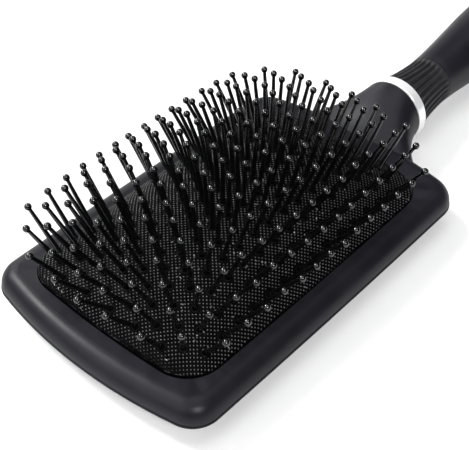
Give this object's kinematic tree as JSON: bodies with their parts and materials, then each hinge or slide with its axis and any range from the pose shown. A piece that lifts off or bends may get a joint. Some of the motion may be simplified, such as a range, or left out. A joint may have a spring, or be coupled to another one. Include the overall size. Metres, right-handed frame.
{
  "type": "paddle brush",
  "caption": "Rectangular cushioned hair brush with ball-tipped pins, a bright ring at the neck, a ribbed grip and a round handle.",
  "frame": {"origin": "on the flat back of the paddle, under the centre of the cushion opening", "axes": "+Y from the paddle along the handle, +X across the paddle, +Z the way the pins point"},
  "size_m": [0.0866, 0.2501, 0.0461],
  "materials": {
    "soft_touch_plastic": "moulded plastic with a soft-touch black coating, matt",
    "inner_plastic": "plain black moulded plastic, hidden",
    "cushion_rubber": "black rubber with a fine embossed pattern of staggered bumps",
    "pin_nylon": "black nylon, satin shafts and glossy ball tips",
    "polished_ring": "bright polished metallised ring",
    "grip_rubber": "black rubber with lengthwise ribs, matt"
  },
  "bodies": {
    "handle_and_paddle": {"paddle_body": "soft_touch_plastic", "back_shell": "soft_touch_plastic", "pad_retainer": "inner_plastic", "ring_collar": "polished_ring", "ribbed_grip": "grip_rubber", "handle_sleeve": "soft_touch_plastic", "end_cap": "soft_touch_plastic"},
    "pins_and_cushion": {"cushion_pad": "cushion_rubber", "pin_column_01": "pin_nylon", "pin_column_02": "pin_nylon", "pin_column_03": "pin_nylon", "pin_column_04": "pin_nylon", "pin_column_05": "pin_nylon", "pin_column_06": "pin_nylon", "pin_column_07": "pin_nylon", "pin_column_08": "pin_nylon", "pin_column_09": "pin_nylon", "pin_column_10": "pin_nylon", "pin_column_11": "pin_nylon", "pin_column_12": "pin_nylon", "pin_column_13": "pin_nylon"}
  },
  "joints": [
    {"name": "cushion_press", "type": "slide", "parent": "handle_and_paddle", "child": "pins_and_cushion", "axis": [0, 0, 1], "range_m": [-0.003, 0], "stiffness_N_per_m": 2500, "deforming": ["cushion_pad"]}
  ]
}
